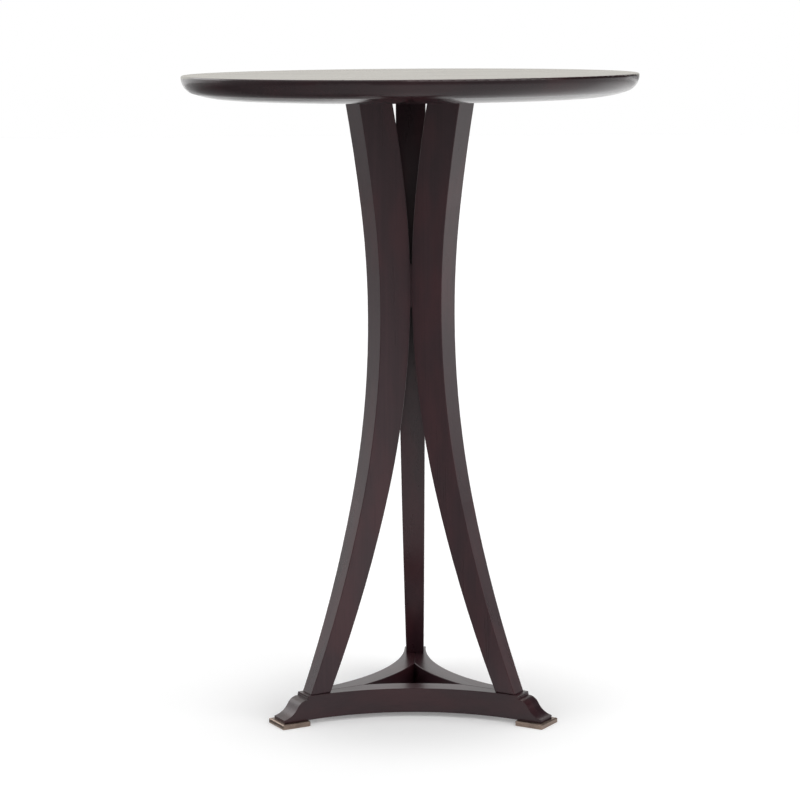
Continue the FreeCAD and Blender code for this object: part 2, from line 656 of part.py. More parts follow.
def add_ogee_waste(sketch):
    """What is cut off the toe: two small fillets, a convex crown and a cove running out to the tip."""
    tread_top = derived.base_top - dims.toe_upper_fillet
    tread_start = Vector(derived.toe_start, tread_top)
    tread_end = tread_start + Vector(dims.toe_fillet_tread, 0)
    tip_top = dims.foot_plate_thickness + dims.toe_lower_fillet
    over = derived.base_top + dims.saw_allowance
    clear = derived.toe_end + dims.saw_allowance
    crown_start = tread_end - Vector(0, dims.toe_upper_fillet)
    crown_centre = crown_start - Vector(0, dims.ogee_crown_radius)
    drop = arc_height(dims.ogee_crown_radius, dims.ogee_crown_reach)
    turn = crown_start + Vector(dims.ogee_crown_reach, -drop)
    tip = Vector(derived.toe_end, tip_top)
    upper = add_line(sketch, Vector(derived.toe_start, over), tread_start)
    tread = add_line(sketch, tread_start, tread_end)
    lower = add_line(sketch, tread_end, crown_start)
    crown_first, crown_last = add_arc(sketch, crown_start, turn, crown_centre)
    cove_first, cove_last = add_arc(sketch, turn, tip, tangent_centre(turn, crown_centre, tip))
    floor = add_line(sketch, tip, Vector(clear, tip_top))
    outside = add_line(sketch, Vector(clear, tip_top), Vector(clear, over))
    top = add_line(sketch, Vector(clear, over), Vector(derived.toe_start, over))
    relate(sketch, "Coincident", (upper, END), (tread, START))
    relate(sketch, "Coincident", (tread, END), (lower, START))
    relate(sketch, "Coincident", (lower, END), crown_first)
    relate(sketch, "Tangent", crown_last, cove_first)
    relate(sketch, "Coincident", cove_last, (floor, START))
    relate(sketch, "Coincident", (floor, END), (outside, START))
    relate(sketch, "Coincident", (outside, END), (top, START))
    relate(sketch, "Coincident", (top, END), (upper, START))
    relate(sketch, "Vertical", upper)
    relate(sketch, "Horizontal", tread)
    relate(sketch, "Vertical", lower)
    relate(sketch, "Horizontal", floor)
    relate(sketch, "Vertical", outside)
    relate(sketch, "Horizontal", top)
    crown_x = "derived.toe_start + dims.toe_fillet_tread"
    bind_x(sketch, "upper_x", (upper, START), "derived.toe_start")
    bind_y(sketch, "over", (upper, START), "derived.base_top + dims.saw_allowance")
    bind_y(sketch, "tread", (tread, START), "derived.base_top - dims.toe_upper_fillet")
    bind_x(sketch, "lower_x", (lower, START), crown_x)
    bind_y(sketch, "crown_top", (lower, END), "derived.base_top - 2 * dims.toe_upper_fillet")
    bind_radius(sketch, "crown", crown_first[0], "dims.ogee_crown_radius")
    bind_x(sketch, "crown_x", (crown_first[0], CENTRE), crown_x)
    bind_x(sketch, "turn_x", crown_last, f"{crown_x} + dims.ogee_crown_reach")
    bind_x(sketch, "tip_x", cove_last, "derived.toe_end")
    bind_y(sketch, "tip_y", cove_last, "dims.foot_plate_thickness + dims.toe_lower_fillet")
    bind_x(sketch, "clear", (outside, START), "derived.toe_end + dims.saw_allowance")


def add_tenon_section(sketch, room):
    """Round-ended section of a loose tenon on the mitre, grown by some room for its mortise."""
    half = dims.tenon_thickness / 2
    reach = dims.tenon_width / 2 - half
    mid = Vector(derived.tenon_r, derived.tenon_z)
    right = mid + Vector(reach, 0)
    left = mid - Vector(reach, 0)
    lift = Vector(0, half)
    bottom = add_line(sketch, left - lift, right - lift)
    top = add_line(sketch, right + lift, left + lift)
    right_arc = sketch.addGeometry(arc_on_end(right, half, -1))
    left_arc = sketch.addGeometry(arc_on_end(left, half, 1))
    relate(sketch, "Tangent", (bottom, END), (right_arc, START))
    relate(sketch, "Tangent", (right_arc, END), (top, START))
    relate(sketch, "Tangent", (top, END), (left_arc, START))
    relate(sketch, "Tangent", (left_arc, END), (bottom, START))
    relate(sketch, "Horizontal", bottom)
    relate(sketch, "Horizontal", top)
    bind_radius(sketch, "half", right_arc, f"dims.tenon_thickness / 2 + {room}")
    shift = "(dims.tenon_width - dims.tenon_thickness) / 2"
    bind_x(sketch, "right_x", (right_arc, CENTRE), f"derived.tenon_r + {shift}")
    bind_y(sketch, "right_y", (right_arc, CENTRE), "derived.tenon_z")
    bind_x(sketch, "left_x", (left_arc, CENTRE), f"derived.tenon_r - {shift}")


def arc_on_end(centre, radius, side):
    """Half a circle, from side times a quarter turn to the far side."""
    circle = Part.Circle(centre, Vector(0, 0, 1), radius)
    return Part.ArcOfCircle(circle, side * math.pi / 2, side * math.pi / 2 + math.pi)


def make_rail(place, turn):
    """A hollow-sided rail with half an ogee toe at each end, mortised and drilled."""
    body = new_body(f"rail_{place}", turn)
    underside = "dims.foot_plate_thickness"
    near_end = MITRE_TURNS["left"]
    plan = new_sketch(body, "plan", "XY_Plane", underside)
    add_rail_outline(plan)
    add_pad(body, plan, "dims.rail_height")
    ogee = new_sketch(body, "ogee", "XZ_Plane", turn=near_end)
    add_ogee_waste(ogee)
    toe = add_pocket(body, ogee, symmetric=True)
    mortise = new_sketch(body, "mortise", "XZ_Plane", turn=near_end)
    add_tenon_section(mortise, "dims.joint_clearance")
    slot = add_pocket(body, mortise, "dims.tenon_length + 2 * dims.hole_overrun", symmetric=True)
    leg_screw = new_sketch(body, "leg_screw", "XY_Plane", underside, near_end)
    shank = "dims.base_screw_diameter / 2"
    spot = Vector(derived.base_screw_r, derived.base_screw_t)
    add_circle(leg_screw, "screw", spot, "derived.base_screw_r", "derived.base_screw_t", shank)
    leg_hole = add_countersunk_hole(body, leg_screw, "base_screw", reverse=True)
    foot_screw = new_sketch(body, "foot_screw", "XY_Plane", underside, near_end)
    bore = "dims.foot_screw_diameter / 2 + dims.joint_clearance"
    spot = Vector(derived.foot_screw_r, dims.foot_screw_spacing / 2)
    add_circle(foot_screw, "screw", spot, "derived.foot_screw_r", "dims.foot_screw_spacing / 2", bore)
    tip = "dims.screw_recess + dims.foot_screw_length - dims.foot_plate_thickness"
    foot_hole = add_pocket(body, foot_screw, f"{tip} + dims.hole_overrun", reverse=True)
    far_end = body.newObject("PartDesign::Mirrored", f"{body.Name}_far_end")
    far_end.Originals = [toe, slot, leg_hole, foot_hole]
    far_end.MirrorPlane = (origin_item(body, "YZ_Plane"), [""])
    body.Tip = far_end
    doc.recompute()
    top = derived.base_top

    def long_top_edge(edge):
        box = edge.BoundBox
        level = abs(box.ZMin - top) < TOUCH and abs(box.ZMax - top) < TOUCH
        return level and box.XLength > derived.mitre_inner_r

    add_chamfer(body, "top_ease", "dims.rail_ease", long_top_edge)
    return body


def make_tenon(place, turn):
    """A loose tenon across one mitre."""
    body = new_body(f"mitre_tenon_{place}", turn)
    section = new_sketch(body, "section", "XZ_Plane")
    add_tenon_section(section, "0")
    add_pad(body, section, "dims.tenon_length", symmetric=True)
    return body


# Foot plates

def make_foot_plate(place, turn):
    """A bronze plate under one toe, rounded at its inner corners, with a bevelled upper edge."""
    body = new_body(f"foot_plate_{place}", turn)
    plan = new_sketch(body, "plan", "XY_Plane")
    near = derived.foot_plate_end - dims.foot_plate_length
    far = derived.foot_plate_end
    half = dims.foot_plate_width / 2
    corners = [Vector(near, half), Vector(near, -half), Vector(far, -half), Vector(far, half)]
    inner_end, right_side, outer_end, left_side = add_polygon(plan, corners)
    relate(plan, "Vertical", inner_end)
    relate(plan, "Vertical", outer_end)
    relate(plan, "Horizontal", right_side)
    relate(plan, "Horizontal", left_side)
    bind_x(plan, "inner_end", (inner_end, START), "derived.foot_plate_end - dims.foot_plate_length")
    bind_x(plan, "outer_end", (outer_end, START), "derived.foot_plate_end")
    bind_y(plan, "left_side", (inner_end, START), "dims.foot_plate_width / 2")
    bind_y(plan, "right_side", (inner_end, END), "-dims.foot_plate_width / 2")
    add_pad(body, plan, "dims.foot_plate_thickness")
    middle = (near + far) / 2

    def inner_corner(edge):
        return edge.BoundBox.ZLength > dims.foot_plate_bevel and edge.CenterOfMass.x < middle

    add_fillet(body, "corners", "dims.foot_plate_round", inner_corner)
    mid_height = dims.foot_plate_thickness / 2
    add_chamfer(body, "bevel", "dims.foot_plate_bevel", lambda e: e.BoundBox.ZMin > mid_height)
    screws = new_sketch(body, "screws", "XY_Plane")
    shank = "dims.foot_screw_diameter / 2"
    for name, sign in (("left", ""), ("right", "-")):
        sideways = f"{sign}dims.foot_screw_spacing / 2"
        add_circle(screws, name, Vector(derived.foot_screw_r, 0), "derived.foot_screw_r", sideways, shank)
    add_countersunk_hole(body, screws, "foot_screw", reverse=True)
    return body


# Screws

def add_screw(body, name, screw, place, head_z, pointing, sideways=None):
    """One countersunk screw with a plain shank and a point, turned about its own axis."""
    sketch = new_sketch(body, name, "XZ_Plane", sideways)
    diameter = getattr(dims, f"{screw}_diameter")
    length = getattr(dims, f"{screw}_length")
    shank = diameter / 2
    head = shank * dims.screw_head_ratio
    slope = math.tan(math.radians(COUNTERSINK_ANGLE / 2))
    outline = [(0, 0), (head, 0), (shank, (head - shank) / slope), (shank, length - diameter), (0, length)]
    face, cone, side, point, axis = add_polygon(sketch, [Vector(x, pointing * y) for x, y in outline])
    relate(sketch, "Horizontal", face)
    relate(sketch, "Vertical", side)
    relate(sketch, "Vertical", axis)
    shank_size = f"dims.{screw}_diameter / 2"
    head_size = f"{shank_size} * dims.screw_head_ratio"
    bind_x(sketch, "axis_x", (face, START), place)
    bind_y(sketch, "head_z", (face, START), head_z)
    bind_x(sketch, "head_x", (face, END), f"{place} + {head_size}")
    bind_x(sketch, "shank_x", (cone, END), f"{place} + {shank_size}")
    cone_size = f"({head_size} - {shank_size}) / tan({COUNTERSINK_ANGLE / 2} deg)"
    bind_y(sketch, "cone_z", (cone, END), f"{head_z} + {pointing} * {cone_size}")
    straight = f"dims.{screw}_length - dims.{screw}_diameter"
    bind_y(sketch, "shank_z", (side, END), f"{head_z} + {pointing} * ({straight})")
    bind_y(sketch, "tip_z", (point, END), f"{head_z} + {pointing} * dims.{screw}_length")
    turned = body.newObject("PartDesign::Revolution", f"{sketch.Name}_turned")
    turned.Profile = sketch
    turned.ReferenceAxis = (sketch, [f"Edge{axis + 1}"])
    turned.Angle = 360
    doc.recompute()
    return turned


def make_mount_screws():
    """Screws up through the mounting plate into the top."""
    body = new_body("mount_screws", MOUNT_TURN)
    body.AllowCompound = True
    screw = add_screw(body, "screw", "mount_screw", "derived.mount_screw_r", "derived.mount_screw_z", 1)
    add_polar(body, "set", [screw], MOUNT_SCREW_COUNT)
    return body


def make_leg_head_screws():
    """Screws down through the mounting plate into the head of each leg."""
    body = new_body("leg_head_screws", LEG_TURNS["rear"])
    body.AllowCompound = True
    pair = []
    for name, side in (("inner", "-"), ("outer", "+")):
        place = f"derived.head_mid_r {side} dims.head_screw_spacing / 2"
        pair.append(add_screw(body, name, "head_screw", place, "derived.head_screw_z", -1))
    add_polar(body, "set", pair, LEG_COUNT)
    return body


def make_leg_foot_screws():
    """Screws up through the rail ends into the foot of each leg."""
    body = new_body("leg_foot_screws", LEG_TURNS["rear"])
    body.AllowCompound = True
    pair = []
    for name, sign in (("near", ""), ("far", "-")):
        sideways = f"{sign}derived.base_screw_t"
        place = "derived.base_screw_r"
        pair.append(add_screw(body, name, "base_screw", place, "derived.base_screw_z", 1, sideways))
    add_polar(body, "set", pair, LEG_COUNT)
    return body


def make_foot_plate_screws():
    """Screws up through each foot plate into the toe above it."""
    body = new_body("foot_plate_screws", LEG_TURNS["rear"])
    body.AllowCompound = True
    pair = []
    for name, sign in (("near", ""), ("far", "-")):
        sideways = f"{sign}dims.foot_screw_spacing / 2"
        place = "derived.foot_screw_r"
        pair.append(add_screw(body, name, "foot_screw", place, "dims.screw_recess", 1, sideways))
    add_polar(body, "set", pair, LEG_COUNT)
    return body


# Build, test and write

def test_model(pieces):
    """Stops on a failed object, a cut that removed nothing, or an empty or broken shape."""
    for item in doc.Objects:
        if "Invalid" in item.State or "Error" in item.State:
            raise RuntimeError(f"{item.Name} failed: {item.State}")
        if item.TypeId in ("PartDesign::Pocket", "PartDesign::Hole"):
            if item.Shape.Volume >= item.BaseFeature.Shape.Volume:
                raise RuntimeError(f"{item.Name} cuts nothing")
        if item.TypeId == "Sketcher::SketchObject" and not item.FullyConstrained:
            raise RuntimeError(f"{item.Name} is not fully constrained")
    for piece in pieces:
        if piece.Shape.isNull() or not piece.Shape.isValid():
            raise RuntimeError(f"{piece.Label} has no valid shape")


def main():
    pieces = [make_table_top(), make_mounting_plate(), make_mount_screws(), make_leg_head_screws()]
    for place, turn in LEG_TURNS.items():
        pieces.append(make_leg(place, turn))
        pieces.append(make_tenon(place, turn))
        pieces.append(make_foot_plate(place, turn))
    for place, turn in RAIL_TURNS.items():
        pieces.append(make_rail(place, turn))
    pieces += [make_waist_block(), make_waist_dowels(), make_leg_foot_screws(), make_foot_plate_screws()]
    doc.recompute()
    test_model(pieces)
    os.makedirs("parts", exist_ok=True)
    for piece in pieces:
        piece.Shape.exportStep(f"parts/{piece.Label}.step")
        print(f"{piece.Label}: {len(piece.Shape.Solids)} solids, {piece.Shape.Volume:.0f} cubic mm")


main()
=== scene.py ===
import math

import bmesh
import bpy
from mathutils import Matrix, Vector


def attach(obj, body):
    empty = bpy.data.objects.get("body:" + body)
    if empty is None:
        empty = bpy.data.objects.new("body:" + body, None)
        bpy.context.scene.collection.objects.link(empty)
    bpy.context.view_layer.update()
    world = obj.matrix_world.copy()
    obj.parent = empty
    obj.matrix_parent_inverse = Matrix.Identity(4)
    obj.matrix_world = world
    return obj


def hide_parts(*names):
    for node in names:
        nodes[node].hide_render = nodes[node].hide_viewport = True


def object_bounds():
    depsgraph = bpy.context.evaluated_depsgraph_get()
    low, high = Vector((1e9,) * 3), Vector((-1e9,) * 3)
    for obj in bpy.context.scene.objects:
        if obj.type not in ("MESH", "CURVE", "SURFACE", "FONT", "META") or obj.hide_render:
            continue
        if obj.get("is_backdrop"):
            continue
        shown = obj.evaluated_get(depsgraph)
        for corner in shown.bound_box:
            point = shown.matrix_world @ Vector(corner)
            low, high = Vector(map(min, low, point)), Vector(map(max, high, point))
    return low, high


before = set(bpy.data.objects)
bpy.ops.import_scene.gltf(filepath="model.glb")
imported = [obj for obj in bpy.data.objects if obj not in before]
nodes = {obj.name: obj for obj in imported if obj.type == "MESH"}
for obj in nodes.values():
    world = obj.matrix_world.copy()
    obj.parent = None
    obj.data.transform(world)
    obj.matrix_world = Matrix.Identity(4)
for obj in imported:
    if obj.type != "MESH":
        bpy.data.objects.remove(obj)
cad_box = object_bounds()

# Camera fitted to the photograph: metres, degrees, and millimetres for the lens and sensor
CAMERA_DISTANCE = 2.549
CAMERA_HEIGHT = 0.7118
CAMERA_ROUND = 0.85
CAMERA_PITCH = 8.734
CAMERA_YAW = 0.274
CAMERA_ROLL = -0.40
CAMERA_LENS = 113.88
CAMERA_SENSOR = 36

# Stained wood as linear colours: deep, middle and light grain, redder patches, rubbed edges
WOOD_STAIN = (
    (0.030, 0.0117, 0.0156),
    (0.040, 0.0160, 0.0212),
    (0.051, 0.0212, 0.0262),
    (0.070, 0.0190, 0.0240),
    (0.105, 0.056, 0.054),
)

# The open face of the table top, drawn lighter and warmer than its rim as painted light on the face turned
# up, and how far its grain goes darker and lighter
TOP_PAINTED_LIT_FACE = (0.048, 0.0200, 0.0225)
LIT_FACE_DARKER = 0.72
LIT_FACE_LIGHTER = 1.28

# Lacquered pieces: strength of the stain, then the least roughness of the lacquer
# The top's stain at half strength makes its rim and underside darker than the legs: painted shade on the
# rim
TOP_FINISH = (0.5, 0.15)
LEG_FINISH = (0.9, 0.27)
RAIL_FINISH = (0.7, 0.28)
BLOCK_FINISH = (1.0, 0.17)

# How much rougher the lacquer gets along the wood's figure, and the strength of its reflections
LACQUER_SPREAD = 0.04
LACQUER_SHINE = 0.4

# Other materials as linear colours with alpha
BRONZE_DARK = (0.205, 0.155, 0.130, 1)
BRONZE_LIGHT = (0.300, 0.230, 0.188, 1)
BRONZE_SPECK = (0.085, 0.064, 0.054, 1)
BRONZE_RUBBED = (0.44, 0.345, 0.285, 1)
BLACK_DARK = (0.012, 0.012, 0.013, 1)
BLACK_LIGHT = (0.030, 0.030, 0.031, 1)
BLACK_RUBBED = (0.16, 0.155, 0.15, 1)
ZINC_DARK = (0.36, 0.35, 0.33, 1)
ZINC_LIGHT = (0.58, 0.56, 0.52, 1)
BEECH_DARK = (0.42, 0.27, 0.155, 1)
BEECH_LIGHT = (0.60, 0.42, 0.265, 1)
BEECH_FLECK = (0.30, 0.17, 0.09, 1)
WHITE = (1, 1, 1, 1)
IVORY = (1, 0.995, 0.925, 1)

# Cross recess in a screw head, as shares of the head's radius, and the size of its floor against its mouth
DRIVE_ARM = 0.62
DRIVE_HALF_WIDTH = 0.15
DRIVE_DEPTH = 0.75
DRIVE_CLEARANCE = 0.1
DRIVE_TAPER = 0.45

# Working tolerances of the screw meshes in metres, and the angle of their sharp edges in degrees
WELD_DISTANCE = 1e-6
HEAD_FACE_BAND = 1e-5
SHARP_ANGLE = 30

# Floor: half its side and its height in metres, and the least and greatest reflectance of its paper
FLOOR_REACH = 12
FLOOR_HEIGHT = -0.0003
FLOOR_PAPER = (0.73, 0.75)

# Glow added to the floor: for the camera it grows between two radii, which paints a shadow darker round the
# table's foot, in reflections it is even
PAINTED_SHADOW_RADII = (0.05, 0.25)
PAINTED_SHADOW_GLOW = (0.2, 0.39)
GLOW_MIRRORED = 0.42

# White surroundings: strength as a light, and as what the camera and reflections show
WORLD_LIGHT = 0.40
WORLD_SHOWN = 1.0

# Soft lamps: name, azimuth, elevation and spread in degrees, and energy
LAMPS = (
    ("lamp_right", 325, 35, 60, 0.95),
    ("lamp_left", 215, 35, 60, 0.6),
    ("lamp_overhead", 75, 75, 50, 1.0),
)

# Cards round the table that show only in reflections: each one's name and colour, the radius and height of
# its rings in metres, then the brightness of the rings at each azimuth in degrees
FAR = 4.5
NEAR = 1.2
CARD_STEP = 5
CARDS = (
    ("card_back", IVORY, ((NEAR, 0.6), (NEAR, 1.0)), (
        (65, (0.93, 0.93)),
        (110, (0.93, 0.93)),
        (135, (1.4, 1.9)),
    )),
    ("card_front", WHITE, ((FAR, 0), (FAR, 3.2)), (
        (165, (0.55, 0.55)),
        (210, (0.46, 0.46)),
        (270, (0.28, 0.28)),
        (325, (0.36, 0.36)),
        (375, (0.9, 0.9)),
    )),
    ("card_floor", WHITE, ((0.16, 0.001), (0.45, 0.003), (1.6, 0.003), (2.6, 0.003), (FAR, 0.003)), (
        (100, (1.0, 0.7, 0.65, 0.7, 0.8)),
        (120, (0.6, 0.3, 0.25, 0.5, 0.6)),
        (165, (0.2, 0.2, 0.15, 0.35, 0.4)),
        (215, (0.2, 0.55, 0.55, 0.3, 0.3)),
        (270, (1.1, 1.0, 1.0, 0.25, 0.25)),
        (310, (0.9, 1.15, 1.1, 0.4, 0.4)),
        (350, (0.9, 1.5, 1.3, 0.9, 0.9)),
        (375, (0.9, 1.5, 1.2, 0.9, 0.9)),
        (385, (0.9, 1.6, 1.6, 1.15, 0.65)),
        (430, (1.0, 1.3, 1.5, 1.15, 0.6)),
    )),
    ("card_right", WHITE, ((FAR, 0.25), (FAR, 0.55), (FAR, 1.1), (FAR, 1.4), (FAR, 4.5)), (
        (375, (0.55, 0.2, 0.15, 0.04, 0.04)),
        (435, (0.55, 0.2, 0.15, 0.04, 0.04)),
    )),
    ("card_left", WHITE, ((FAR, 0.25), (FAR, 1.7), (FAR, 1.9), (FAR, 3.6)), (
        (120, (1.3, 1.7, 3.0, 3.0)),
        (165, (1.3, 1.7, 3.0, 3.0)),
    )),
)

# Sockets of a colour mix node, which are told apart only by number
MIX_FACTOR, MIX_FIRST, MIX_SECOND, MIX_RESULT = 0, 6, 7, 2


# Node helpers

def add_node(tree, kind, inputs=None, **settings):
    """A node with its settings made and its inputs set or linked."""
    node = tree.nodes.new(kind)
    for key, value in settings.items():
        setattr(node, key, value)
    for key, value in (inputs or {}).items():
        if isinstance(value, bpy.types.NodeSocket):
            tree.links.new(value, node.inputs[key])
        else:
            node.inputs[key].default_value = value
    return node


def new_material(name):
    """An empty node material and its surface output."""
    material = bpy.data.materials.new(name)
    material.use_nodes = True
    tree = material.node_tree
    tree.nodes.clear()
    output = add_node(tree, "ShaderNodeOutputMaterial")
    return material, tree, output


def object_place(tree):
    """Coordinates in the object's own frame."""
    return add_node(tree, "ShaderNodeTexCoord").outputs["Object"]


def mapped(tree, vector, location=(0, 0, 0), rotation=(0, 0, 0), scale=(1, 1, 1)):
    """Coordinates moved, turned and stretched."""
    values = {"Vector": vector, "Location": location, "Rotation": rotation, "Scale": scale}
    return add_node(tree, "ShaderNodeMapping", values).outputs["Vector"]


def noise(tree, vector, scale, detail, roughness=0.5, distortion=0.0):
    """Smooth noise between nothing and one."""
    values = {"Vector": vector, "Scale": scale, "Detail": detail}
    values.update({"Roughness": roughness, "Distortion": distortion})
    return add_node(tree, "ShaderNodeTexNoise", values).outputs["Fac"]


def remap(tree, value, low, high, to_low=0.0, to_high=1.0):
    """Smoothly maps one range of a value to another."""
    values = {"Value": value, "From Min": low, "From Max": high, "To Min": to_low, "To Max": to_high}
    node = add_node(tree, "ShaderNodeMapRange", values, interpolation_type="SMOOTHSTEP")
    return node.outputs["Result"]


def mix_colour(tree, factor, first, second):
    """The first colour where the factor is nothing, the second where it is one."""
    values = {MIX_FACTOR: factor, MIX_FIRST: first, MIX_SECOND: second}
    return add_node(tree, "ShaderNodeMix", values, data_type="RGBA").outputs[MIX_RESULT]


def combine(tree, operation, first, second):
    """Two values joined by a named operation."""
    node = add_node(tree, "ShaderNodeMath", {0: first, 1: second}, operation=operation)
    return node.outputs["Value"]


def times(tree, first, second):
    """Two values multiplied."""
    return combine(tree, "MULTIPLY", first, second)


def edge_mask(tree, radius, agreement):
    """One along the object's own edges, where rounded and plain normals part, and nothing on open faces."""
    rounded = add_node(tree, "ShaderNodeBevel", {"Radius": radius}, samples=6).outputs["Normal"]
    plain = add_node(tree, "ShaderNodeNewGeometry").outputs["Normal"]
    agree = add_node(tree, "ShaderNodeVectorMath", {0: rounded, 1: plain}, operation="DOT_PRODUCT")
    return remap(tree, agree.outputs["Value"], 1.0, agreement)


def facing_up(tree):
    """One on faces that look straight up, nothing on steep ones."""
    normal = add_node(tree, "ShaderNodeNewGeometry").outputs["Normal"]
    parts = add_node(tree, "ShaderNodeSeparateXYZ", {"Vector": normal}).outputs
    return remap(tree, parts["Z"], 0.75, 0.98)


def bumped(tree, height, strength, distance, soften=None):
    """Normals raised by a height, over edges softened by a radius if one is given."""
    values = {"Height": height, "Strength": strength, "Distance": distance}
    if soften:
        bevel = add_node(tree, "ShaderNodeBevel", {"Radius": soften}, samples=4)
        values["Normal"] = bevel.outputs["Normal"]
    return add_node(tree, "ShaderNodeBump", values).outputs["Normal"]


def lay_surface(tree, output, colour, gloss, normal, others=None):
    """Joins the parts of a surface in one shader and sends it to the output."""
    values = {"Base Color": colour, "Roughness": gloss, "Normal": normal, **(others or {})}
    shader = add_node(tree, "ShaderNodeBsdfPrincipled", values)
    tree.links.new(shader.outputs["BSDF"], output.inputs["Surface"])


# Materials

def stained(colour, depth):
    """A colour with its strength changed, as a node socket takes it."""
    return tuple(part * depth for part in colour) + (1,)


def make_wood(name, grain_turn, shift, finish, lit_face=None):
    """Dark stained wood under satin lacquer, with its grain along the turned X axis."""
    depth, polish = finish
    deep, mid, light, red, rubbed = (stained(colour, depth) for colour in WOOD_STAIN)
    material, tree, output = new_material(name)
    turned = mapped(tree, object_place(tree), location=shift, rotation=grain_turn)
    streak = mapped(tree, turned, scale=(0.05, 1, 1))
    fibre = mapped(tree, turned, scale=(0.018, 1, 1))
    broad = mapped(tree, turned, scale=(0.35, 1, 1))
    figure = noise(tree, streak, scale=55, detail=4, roughness=0.6, distortion=0.15)
    grain = noise(tree, fibre, scale=420, detail=3, roughness=0.6)
    pores = remap(tree, noise(tree, fibre, scale=1250, detail=2), 0.60, 0.70)
    cloud = noise(tree, turned, scale=9, detail=2)
    blush = remap(tree, noise(tree, broad, scale=32, detail=2), 0.42, 0.68, 0, 0.55)
    tone = combine(tree, "ADD", times(tree, figure, 0.62), times(tree, grain, 0.38))
    colour = mix_colour(tree, remap(tree, tone, 0.30, 0.56), deep, mid)
    colour = mix_colour(tree, remap(tree, tone, 0.50, 0.74), colour, light)
    colour = mix_colour(tree, blush, colour, red)
    colour = mix_colour(tree, times(tree, pores, 0.55), colour, deep)
    # Painted light: faces turned up get a lighter, warmer colour than the rest of the piece, with the
    # grain's tone kept in it
    if lit_face:
        darker, lighter = stained(lit_face, LIT_FACE_DARKER), stained(lit_face, LIT_FACE_LIGHTER)
        painted_lit_face = mix_colour(tree, remap(tree, tone, 0.32, 0.70), darker, lighter)
        colour = mix_colour(tree, facing_up(tree), colour, painted_lit_face)
    edges = edge_mask(tree, radius=0.0007, agreement=0.90)
    worn = times(tree, edges, remap(tree, cloud, 0.42, 0.66, 0.05, 0.35))
    colour = mix_colour(tree, worn, colour, rubbed)
    sheen = remap(tree, figure, 0.3, 0.7, polish, polish + LACQUER_SPREAD)
    gloss = combine(tree, "ADD", sheen, times(tree, pores, 0.10))
    height = combine(tree, "SUBTRACT", times(tree, grain, 0.35), pores)
    normal = bumped(tree, height, strength=0.07, distance=0.0003, soften=0.0006)
    lay_surface(tree, output, colour, gloss, normal, {"Specular IOR Level": LACQUER_SHINE})
    return material


def make_bronze(name, shift):
    """Aged bronze: brown patina, lighter where the bevels are rubbed."""
    material, tree, output = new_material(name)
    place = mapped(tree, object_place(tree), location=shift)
    patch = noise(tree, place, scale=90, detail=5, roughness=0.65, distortion=0.4)
    speck = noise(tree, place, scale=900, detail=3, roughness=0.6)
    brushed = noise(tree, mapped(tree, place, scale=(1, 1, 0.05)), scale=1600, detail=2)
    colour = mix_colour(tree, remap(tree, patch, 0.35, 0.65), BRONZE_DARK, BRONZE_LIGHT)
    colour = mix_colour(tree, remap(tree, speck, 0.56, 0.72, 0, 0.35), colour, BRONZE_SPECK)
    edges = edge_mask(tree, radius=0.0008, agreement=0.92)
    rubbed = times(tree, edges, remap(tree, patch, 0.3, 0.6, 0.35, 0.9))
    colour = mix_colour(tree, rubbed, colour, BRONZE_RUBBED)
    sheen = remap(tree, patch, 0.3, 0.7, 0.36, 0.5)
    gloss = combine(tree, "ADD", sheen, times(tree, rubbed, -0.1))
    height = combine(tree, "ADD", times(tree, brushed, 0.5), speck)
    normal = bumped(tree, height, strength=0.10, distance=0.0002, soften=0.0004)
    lay_surface(tree, output, colour, gloss, normal, {"Metallic": 1.0})
    return material


def make_black_steel(name):
    """Black powder-coated steel with a fine pebbled skin."""
    material, tree, output = new_material(name)
    place = object_place(tree)
    pebble = noise(tree, place, scale=1400, detail=2)
    cloud = noise(tree, place, scale=30, detail=3)
    colour = mix_colour(tree, cloud, BLACK_DARK, BLACK_LIGHT)
    edges = edge_mask(tree, radius=0.0006, agreement=0.9)
    rubbed = times(tree, edges, remap(tree, cloud, 0.4, 0.65, 0.05, 0.6))
    colour = mix_colour(tree, rubbed, colour, BLACK_RUBBED)
    gloss = remap(tree, pebble, 0.3, 0.7, 0.48, 0.62)
    normal = bumped(tree, pebble, strength=0.25, distance=0.0002)
    lay_surface(tree, output, colour, gloss, normal)
    return material


def make_screw_steel(name):
    """Zinc-plated screw steel with a mottled plating and fine tool marks."""
    material, tree, output = new_material(name)
    place = object_place(tree)
    mottle = noise(tree, place, scale=500, detail=4, roughness=0.6)
    marks = noise(tree, mapped(tree, place, scale=(0.08, 1, 1)), scale=3000, detail=2)
    colour = mix_colour(tree, remap(tree, mottle, 0.35, 0.65), ZINC_DARK, ZINC_LIGHT)
    gloss = remap(tree, mottle, 0.3, 0.7, 0.28, 0.42)
    normal = bumped(tree, marks, strength=0.15, distance=0.0001)
    lay_surface(tree, output, colour, gloss, normal, {"Metallic": 1.0})
    return material


def make_plain_wood(name):
    """Bare beech for the dowels and loose tenons, with short flecks."""
    material, tree, output = new_material(name)
    along = mapped(tree, object_place(tree), scale=(1, 1, 0.2))
    grain = noise(tree, along, scale=300, detail=4, roughness=0.6)
    fleck = remap(tree, noise(tree, along, scale=1500, detail=2), 0.60, 0.68)
    colour = mix_colour(tree, remap(tree, grain, 0.3, 0.7), BEECH_DARK, BEECH_LIGHT)
    colour = mix_colour(tree, times(tree, fleck, 0.6), colour, BEECH_FLECK)
    gloss = remap(tree, grain, 0.3, 0.7, 0.62, 0.75)
    normal = bumped(tree, grain, strength=0.2, distance=0.0002)
    lay_surface(tree, output, colour, gloss, normal)
    return material


def dress(name, material):
    """Gives a CAD node its material in every slot."""
    piece = nodes[name]
    if not piece.material_slots:
        piece.data.materials.append(material)
    for slot in piece.material_slots:
        slot.material = material


